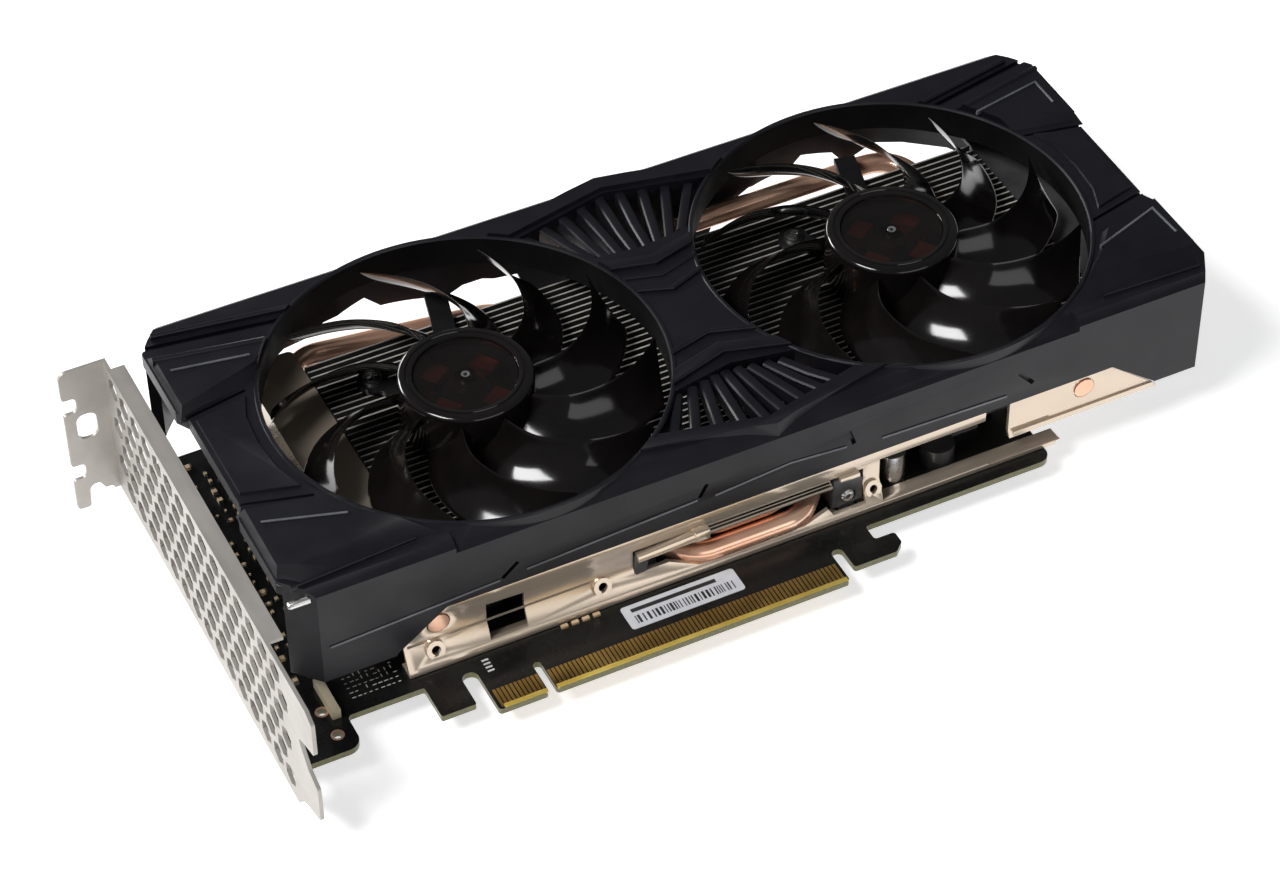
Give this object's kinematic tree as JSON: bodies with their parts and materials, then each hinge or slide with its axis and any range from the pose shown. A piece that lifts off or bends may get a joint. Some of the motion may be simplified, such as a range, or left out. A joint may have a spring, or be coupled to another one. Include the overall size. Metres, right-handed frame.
{
  "type": "graphics card",
  "caption": "Desktop graphics card with a perforated slot bracket, black circuit board, finned cooler under a faceted shroud and turning cooling fans.",
  "frame": {"origin": "bottom centre of the whole part's box", "axes": "+X along the card away from the slot bracket, +Y away from the edge connector, +Z from the board towards the fans"},
  "size_m": [0.248, 0.127, 0.0437],
  "materials": {
    "bracket_nickel": "nickel-plated sheet steel, satin",
    "screw_steel": "plated screw steel",
    "board_black": "black solder mask over glass-fibre laminate, olive at the cut edge",
    "contact_gold": "hard gold plating",
    "chip_carrier": "dark green laminate carrier",
    "silicon": "polished silicon",
    "chip_black": "moulded black chip body",
    "thermal_pad": "soft grey pad",
    "ferrite_grey": "pressed ferrite block",
    "ferrite_black": "black sleeved choke",
    "can_silver": "aluminium can",
    "ceramic_tan": "ceramic chip parts",
    "connector_beige": "beige moulded strip",
    "connector_white": "off-white moulded header",
    "connector_black": "black moulded socket",
    "pin_tin": "tinned terminals",
    "label_white": "white paper label with plain bars",
    "plate_aluminium": "stamped aluminium",
    "plate_copper": "machined copper",
    "polished_nickel": "polished nickel-plated sheet",
    "pipe_copper": "drawn copper tube, bright",
    "fin_aluminium": "thin bright sheet",
    "boss_dark": "dark moulded boss",
    "spring_steel": "wound spring wire",
    "bar_grey": "grey ribbed strip",
    "post_aluminium": "turned post",
    "shroud_black": "fine-grained satin black moulding",
    "fan_smoke": "glossy smoke-brown translucent moulding",
    "cap_smoke": "glossy smoke-brown translucent disc",
    "shaft_steel": "ground steel pin",
    "magnet_ring": "bonded magnet",
    "bearing_bronze": "sintered bronze",
    "stator_steel": "stacked steel laminations",
    "coil_copper": "red enamelled winding",
    "motor_board": "dark green laminate",
    "frame_black": "black moulded frame"
  },
  "bodies": {
    "card": {"base_plate": "plate_aluminium", "board_label": "label_white", "bracket_screws": "screw_steel", "circuit_board": "board_black", "clamp_bar": "bar_grey", "cold_plate": "plate_copper", "controller_chips": "chip_black", "cooler_screws": "screw_steel", "cooler_springs": "spring_steel", "cooling_fins": "fin_aluminium", "edge_contacts_back": "contact_gold", "edge_contacts_front": "contact_gold", "fan_header": "connector_white", "fan_posts": "post_aluminium", "gpu_die": "silicon", "gpu_package": "chip_carrier", "left_fan_bearing": "bearing_bronze", "left_fan_board": "motor_board", "left_fan_coils": "coil_copper", "left_fan_frame": "frame_black", "left_fan_screws": "screw_steel", "left_fan_stator": "stator_steel", "left_heat_pipe": "pipe_copper", "left_mount_plate": "polished_nickel", "memory_chips": "chip_black", "near_heat_pipe_lower": "pipe_copper", "near_heat_pipe_upper": "pipe_copper", "near_side_plate": "polished_nickel", "polymer_capacitors": "can_silver", "power_chokes": "ferrite_grey", "power_connector": "connector_black", "power_pins": "pin_tin", "power_transistors": "chip_black", "right_fan_bearing": "bearing_bronze", "right_fan_board": "motor_board", "right_fan_coils": "coil_copper", "right_fan_frame": "frame_black", "right_fan_screws": "screw_steel", "right_fan_stator": "stator_steel", "right_heat_pipe": "pipe_copper", "right_mount_plate": "polished_nickel", "round_choke": "ferrite_black", "screw_bosses": "boss_dark", "shroud": "shroud_black", "shroud_screws": "screw_steel", "slot_bracket": "bracket_nickel", "small_components": "ceramic_tan", "strip_connector": "connector_beige", "tall_capacitor": "can_silver", "thermal_pads": "thermal_pad"},
    "left_fan": {"left_fan_rotor": "fan_smoke", "left_fan_cap": "cap_smoke", "left_fan_magnet": "magnet_ring", "left_fan_shaft": "shaft_steel"},
    "right_fan": {"right_fan_rotor": "fan_smoke", "right_fan_cap": "cap_smoke", "right_fan_magnet": "magnet_ring", "right_fan_shaft": "shaft_steel"}
  },
  "joints": [
    {"name": "left_fan_spin", "type": "hinge", "parent": "card", "child": "left_fan", "pos_m": [-0.04306, 0.0163, 0.033], "axis": [0, 0, 1], "continuous": true},
    {"name": "right_fan_spin", "type": "hinge", "parent": "card", "child": "right_fan", "pos_m": [0.06434, 0.0163, 0.033], "axis": [0, 0, 1], "continuous": true}
  ]
}
